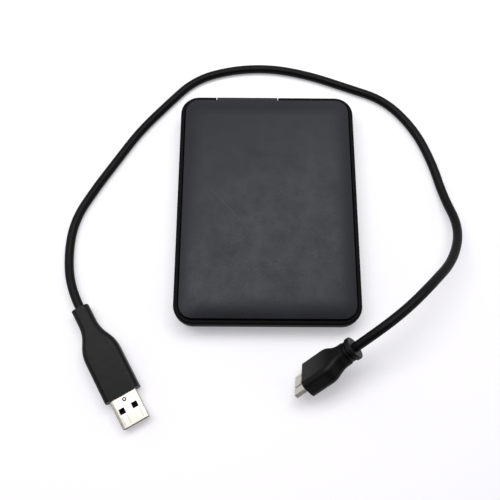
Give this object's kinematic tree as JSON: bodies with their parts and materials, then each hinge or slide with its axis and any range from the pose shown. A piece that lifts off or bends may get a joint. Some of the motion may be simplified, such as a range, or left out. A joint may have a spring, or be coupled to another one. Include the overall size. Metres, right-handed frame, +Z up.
{
  "type": "portable external hard drive",
  "caption": "Pocket-size external hard drive: crowned satin cover plate in a black tray, disc mechanism inside, micro-B socket, and its USB lead lying unplugged round it.",
  "frame": {"origin": "on the surface the drive stands on, under the middle of the drive; the lead doesn't count", "axes": "+Z up from the feet to the cover plate, +Y along the length towards the socket edge, +X across the width"},
  "size_m": [0.1825, 0.1779, 0.0309],
  "materials": {
    "cover": "satin, fine grained",
    "tray": "satin black",
    "rubber": "matt black",
    "light_pipe": "clear, frosted",
    "casting": "die cast and machined",
    "lid": "stamped, brushed",
    "steel": "machined",
    "disc": "mirror polished",
    "magnet": "nickel plated",
    "copper": "enamelled copper wire",
    "ceramic": "polished ceramic",
    "ramp": "natural",
    "filter": "felt",
    "black_plastic": "moulded",
    "flex": "amber film",
    "board": "solder mask",
    "chip": "moulded",
    "plated_shell": "nickel plated",
    "gold": "gold plated",
    "blue_plastic": "moulded",
    "overmould": "satin black",
    "cable": "satin black jacket"
  },
  "bodies": {
    "housing": {"top_cover": "cover", "bottom_tray": "tray", "rubber_foot_front_left": "rubber", "rubber_foot_rear_left": "rubber", "rubber_foot_front_right": "rubber", "rubber_foot_rear_right": "rubber", "bumper_front_left": "rubber", "bumper_front_right": "rubber", "bumper_rear_left": "rubber", "bumper_rear_right": "rubber", "crash_stops": "rubber", "lid_gasket": "rubber", "light_pipe": "light_pipe", "status_led": "light_pipe", "base_casting": "casting", "drive_lid": "lid", "lid_screws": "steel", "bumper_screw_front_left": "steel", "bumper_screw_front_right": "steel", "bumper_screw_rear_left": "steel", "bumper_screw_rear_right": "steel", "board_screws": "steel", "spindle_sleeve": "steel", "pivot_shaft": "steel", "upper_yoke": "steel", "lower_yoke": "steel", "stator_core": "steel", "upper_magnet": "magnet", "lower_magnet": "magnet", "stator_coils": "copper", "load_ramp": "ramp", "air_filter": "filter", "flex_bracket": "black_plastic", "usb_socket_tongue": "black_plastic", "micro_b_insert": "black_plastic", "head_flex": "flex", "circuit_board": "board", "board_chips": "chip", "usb_socket_shell": "plated_shell", "usb_a_shell": "plated_shell", "micro_b_shell": "plated_shell", "usb_socket_contacts": "gold", "usb_a_contacts": "gold", "usb_a_tongue": "blue_plastic", "usb_a_overmould": "overmould", "micro_b_overmould": "overmould", "cable": "cable"},
    "spindle": {"spindle_hub": "steel", "rotor_magnet": "magnet", "lower_platter": "disc", "platter_spacer": "casting", "upper_platter": "disc", "disc_clamp": "steel", "clamp_screw": "steel"},
    "actuator": {"actuator_arm": "casting", "voice_coil": "copper", "pivot_bearing": "steel", "head_suspensions": "steel", "head_sliders": "ceramic"}
  },
  "joints": [
    {"name": "spindle_turn", "type": "hinge", "parent": "housing", "child": "spindle", "pos_m": [0, -0.015, 0.008], "axis": [0, 0, 1], "continuous": true},
    {"name": "actuator_swing", "type": "hinge", "parent": "housing", "child": "actuator", "pos_m": [0.015, 0.026, 0.008], "axis": [0, 0, 1], "range_deg": [0, 34]}
  ]
}
